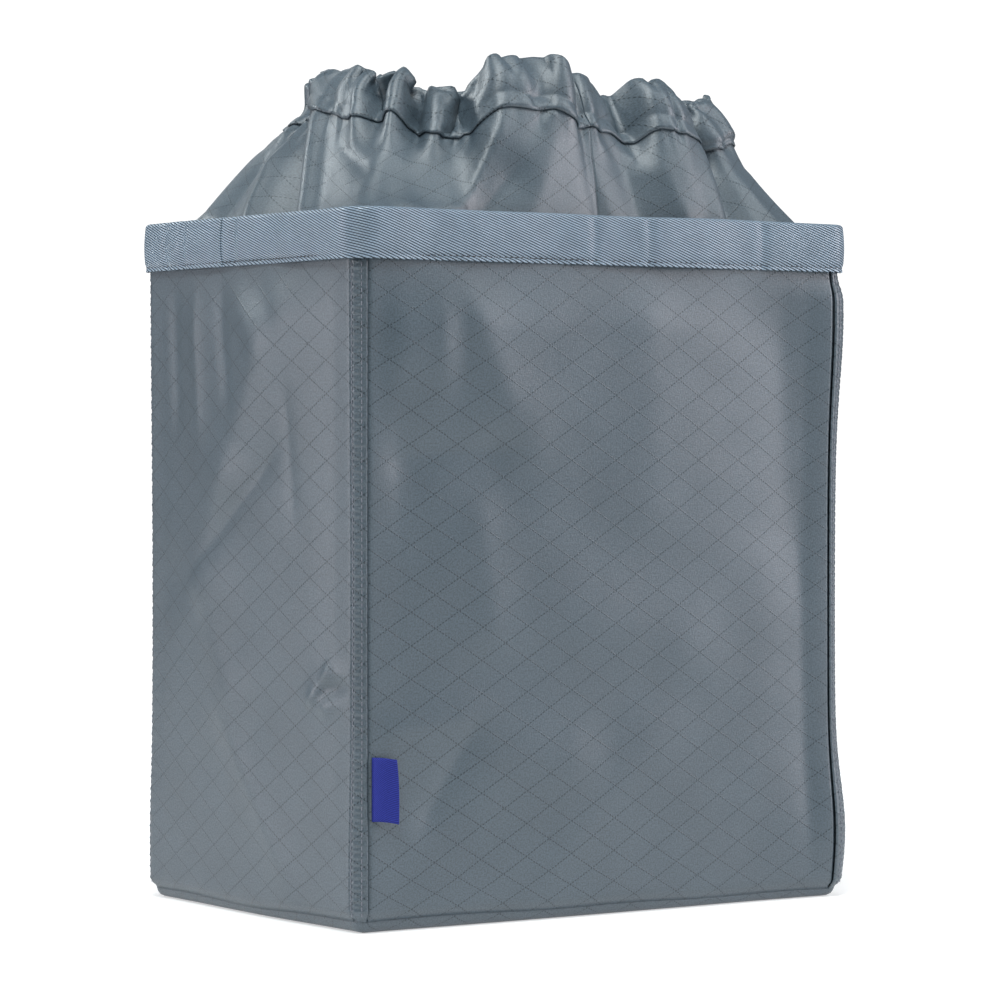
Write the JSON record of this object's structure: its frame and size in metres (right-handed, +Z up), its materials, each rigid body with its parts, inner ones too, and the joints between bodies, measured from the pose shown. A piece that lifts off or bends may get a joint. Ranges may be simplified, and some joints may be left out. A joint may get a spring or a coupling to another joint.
{
  "type": "laundry bag",
  "caption": "Square fabric laundry bag that stands open, with a webbing-bound rim and a gathered elastic collar that tucks inside.",
  "frame": {"origin": "centre of the footprint, on the surface that the bag stands on", "axes": "+Z up, the front panel faces -Y, the left panel faces -X"},
  "size_m": [0.3116, 0.2156, 0.436],
  "materials": {
    "ripstop": "grey coated diamond ripstop with a soft satin sheen",
    "webbing": "light blue-grey twill webbing",
    "thread": "grey-mauve polyester sewing thread",
    "binding_tape": "dark grey woven binding tape",
    "flag_ribbon": "plain dark blue woven ribbon",
    "elastic": "braided round elastic"
  },
  "bodies": {
    "bag": {"bottom_panel": "ripstop", "bottom_seam_binding": "binding_tape", "front_panel": "ripstop", "back_panel": "ripstop", "left_panel": "ripstop", "right_panel": "ripstop", "corner_seam_front_left": "ripstop", "corner_seam_front_right": "ripstop", "corner_seam_back_right": "ripstop", "corner_seam_back_left": "ripstop", "corner_thread_front_left": "thread", "corner_thread_front_right": "thread", "corner_thread_back_right": "thread", "corner_thread_back_left": "thread"},
    "rim": {"rim_webbing_front_left": "webbing", "rim_webbing_front_right": "webbing", "rim_webbing_back_right": "webbing", "rim_webbing_back_left": "webbing", "rim_thread": "thread", "skirt_left": "ripstop", "skirt_right": "ripstop"},
    "collar": {"hem_channel_left": "ripstop", "hem_channel_right": "ripstop", "hem_thread": "thread", "elastic_cord": "elastic"},
    "flag": {"side_flag": "flag_ribbon"}
  },
  "joints": [
    {"name": "rim_drop", "type": "slide", "parent": "bag", "child": "rim", "axis": [0, 0, -1], "range_m": [0, 0.2], "deforming": ["front_panel", "back_panel", "left_panel", "right_panel", "corner_seam_front_left", "corner_seam_front_right", "corner_seam_back_right", "corner_seam_back_left", "corner_thread_front_left", "corner_thread_front_right", "corner_thread_back_right", "corner_thread_back_left"]},
    {"name": "collar_tuck", "type": "slide", "parent": "rim", "child": "collar", "axis": [0, 0, -1], "range_m": [0, 0.13], "deforming": ["skirt_left", "skirt_right"]},
    {"name": "flag_swing", "type": "hinge", "parent": "bag", "child": "flag", "pos_m": [-0.143, -0.1064, 0.0725], "axis": [0, 0, -1], "range_deg": [0, 180]}
  ]
}
